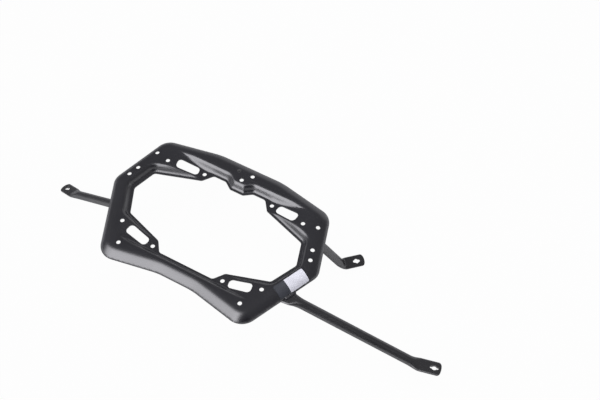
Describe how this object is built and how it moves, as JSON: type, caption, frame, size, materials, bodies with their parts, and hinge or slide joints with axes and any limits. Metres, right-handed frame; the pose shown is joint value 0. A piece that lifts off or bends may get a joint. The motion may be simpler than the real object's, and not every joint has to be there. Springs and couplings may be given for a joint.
{
  "type": "pannier side frame",
  "caption": "Pressed black ring plate with bolt holes and slotted tabs, carried on four welded tube struts with flattened bolt ends; holds a motorbike pannier.",
  "frame": {"origin": "centre of the four inner corner holes, on the outer face of the ring's flat crest", "axes": "+X along the ring towards the long strut and the label, +Y across the ring towards the boss, +Z out of the ring's face, away from the struts"},
  "size_m": [0.9128, 0.3797, 0.1475],
  "materials": {
    "powder_coat": "satin black powder coat",
    "tube_coat": "satin black powder coat",
    "label_film": "blank printed film"
  },
  "bodies": {
    "root": {"ring_plate": "powder_coat", "long_strut": "tube_coat", "end_strut": "tube_coat", "right_boss_strut": "tube_coat", "left_boss_strut": "tube_coat", "long_strut_weld": "tube_coat", "end_strut_weld": "tube_coat", "right_boss_strut_weld": "tube_coat", "left_boss_strut_weld": "tube_coat", "blank_label": "label_film"}
  },
  "joints": []
}
